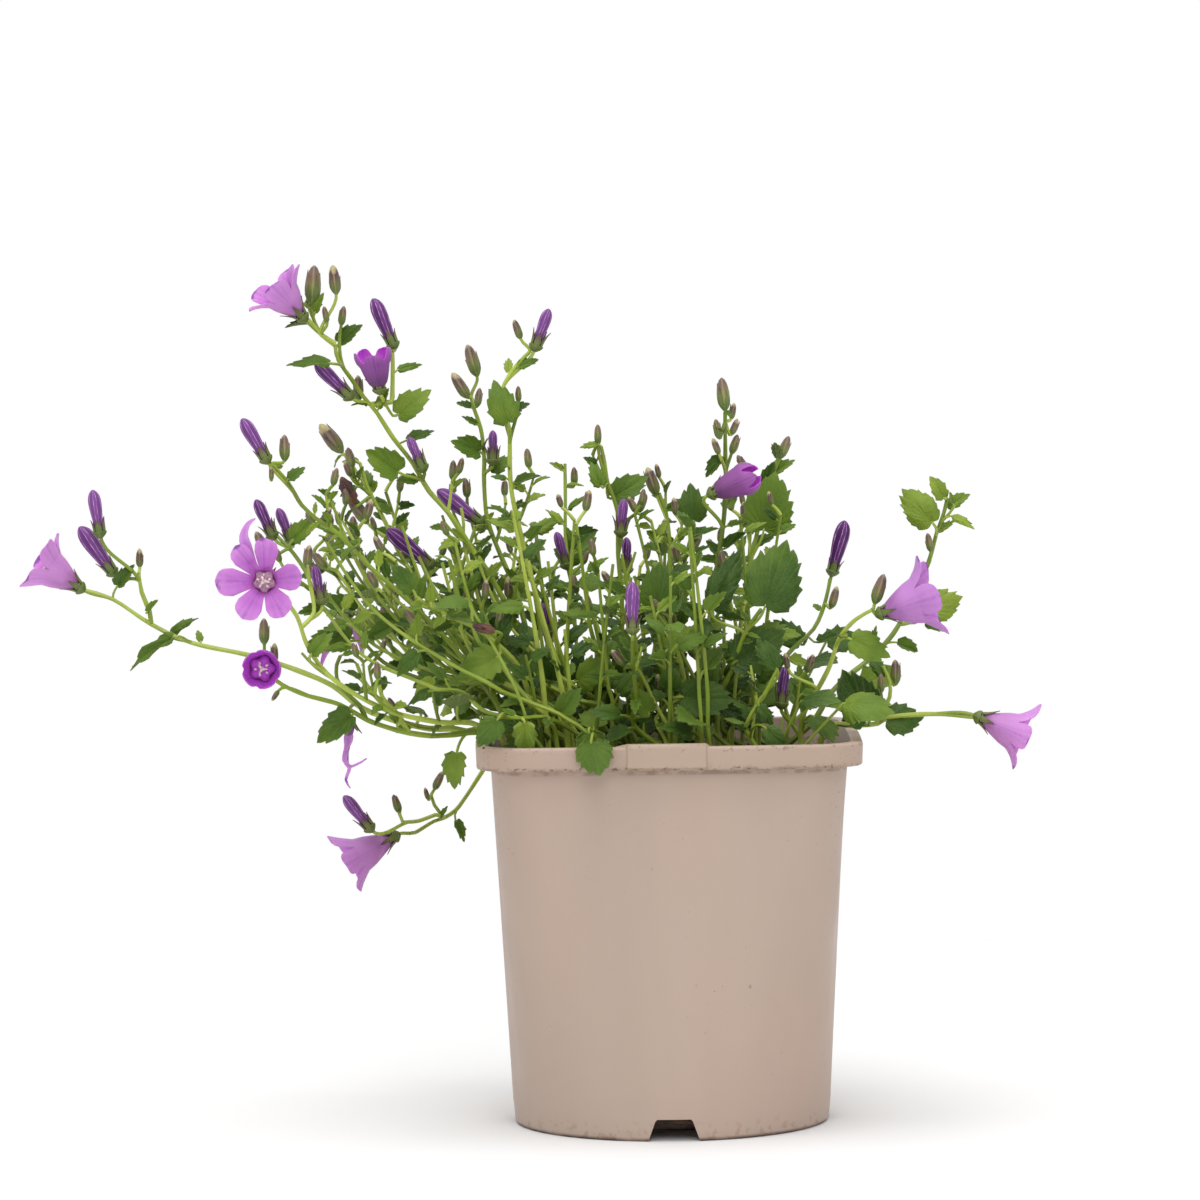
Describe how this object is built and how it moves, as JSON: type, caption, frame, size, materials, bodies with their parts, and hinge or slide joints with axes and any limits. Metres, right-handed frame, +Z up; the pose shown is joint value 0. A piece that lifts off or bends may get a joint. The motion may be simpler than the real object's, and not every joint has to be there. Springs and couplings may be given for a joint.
{
  "type": "potted dalmatian bellflower",
  "caption": "Trailing bellflower with toothed round leaves, violet bells and striped buds in a square-rimmed nursery pot.",
  "frame": {"origin": "middle of the pot's underside, where it stands", "axes": "+Z up along the pot, +X to the right and -Y to the front as seen from the front"},
  "size_m": [0.3239, 0.1445, 0.275],
  "materials": {
    "pot_plastic": "satin",
    "soil": "matte",
    "foliage": "matte",
    "petals": "matte",
    "bud_petals": "matte"
  },
  "bodies": {
    "root": {"bloom_far_left_1": "petals", "bloom_far_right_1": "petals", "bloom_low_left_1": "petals", "bloom_right_flower_1": "petals", "bloom_tall_left_1": "petals", "cup_bloom_cup_flower_1": "petals", "cup_bloom_cup_flower_2": "petals", "cup_bloom_spike_1": "petals", "cup_bloom_tall_left_4": "petals", "open_bloom_front_flower_1": "petals", "pot": "pot_plastic", "soil": "soil", "spray_back_violet": "foliage", "spray_bud_left": "foliage", "spray_centre_bud": "foliage", "spray_centre_right_bud": "foliage", "spray_cup_flower": "foliage", "spray_far_left": "foliage", "spray_far_right": "foliage", "spray_front_flower": "foliage", "spray_front_mid": "foliage", "spray_front_right": "foliage", "spray_front_rim": "foliage", "spray_inner_left": "foliage", "spray_leafy_centre": "foliage", "spray_low_leafy": "foliage", "spray_low_left": "foliage", "spray_mid_left": "foliage", "spray_right_bud": "foliage", "spray_right_flower": "foliage", "spray_right_violet": "foliage", "spray_round_leaves": "foliage", "spray_spike": "foliage", "spray_tall_left": "foliage", "spray_thick_left": "foliage", "spray_thin_centre": "foliage", "spray_upper_a": "foliage", "spray_upper_b": "foliage", "spray_upright_shoot": "foliage", "violet_bud_back_violet_1": "bud_petals", "violet_bud_bud_left_1": "bud_petals", "violet_bud_centre_bud_1": "bud_petals", "violet_bud_far_left_2": "bud_petals", "violet_bud_far_left_3": "bud_petals", "violet_bud_front_flower_2": "bud_petals", "violet_bud_front_mid_1": "bud_petals", "violet_bud_inner_left_1": "bud_petals", "violet_bud_inner_left_2": "bud_petals", "violet_bud_leafy_centre_1": "bud_petals", "violet_bud_low_left_2": "bud_petals", "violet_bud_mid_left_1": "bud_petals", "violet_bud_mid_left_2": "bud_petals", "violet_bud_right_flower_2": "bud_petals", "violet_bud_right_violet_1": "bud_petals", "violet_bud_tall_left_2": "bud_petals", "violet_bud_tall_left_3": "bud_petals", "violet_bud_tall_left_5": "bud_petals", "violet_bud_thin_centre_1": "bud_petals", "violet_bud_upper_a_1": "bud_petals", "violet_bud_upper_b_1": "bud_petals"}
  },
  "joints": []
}
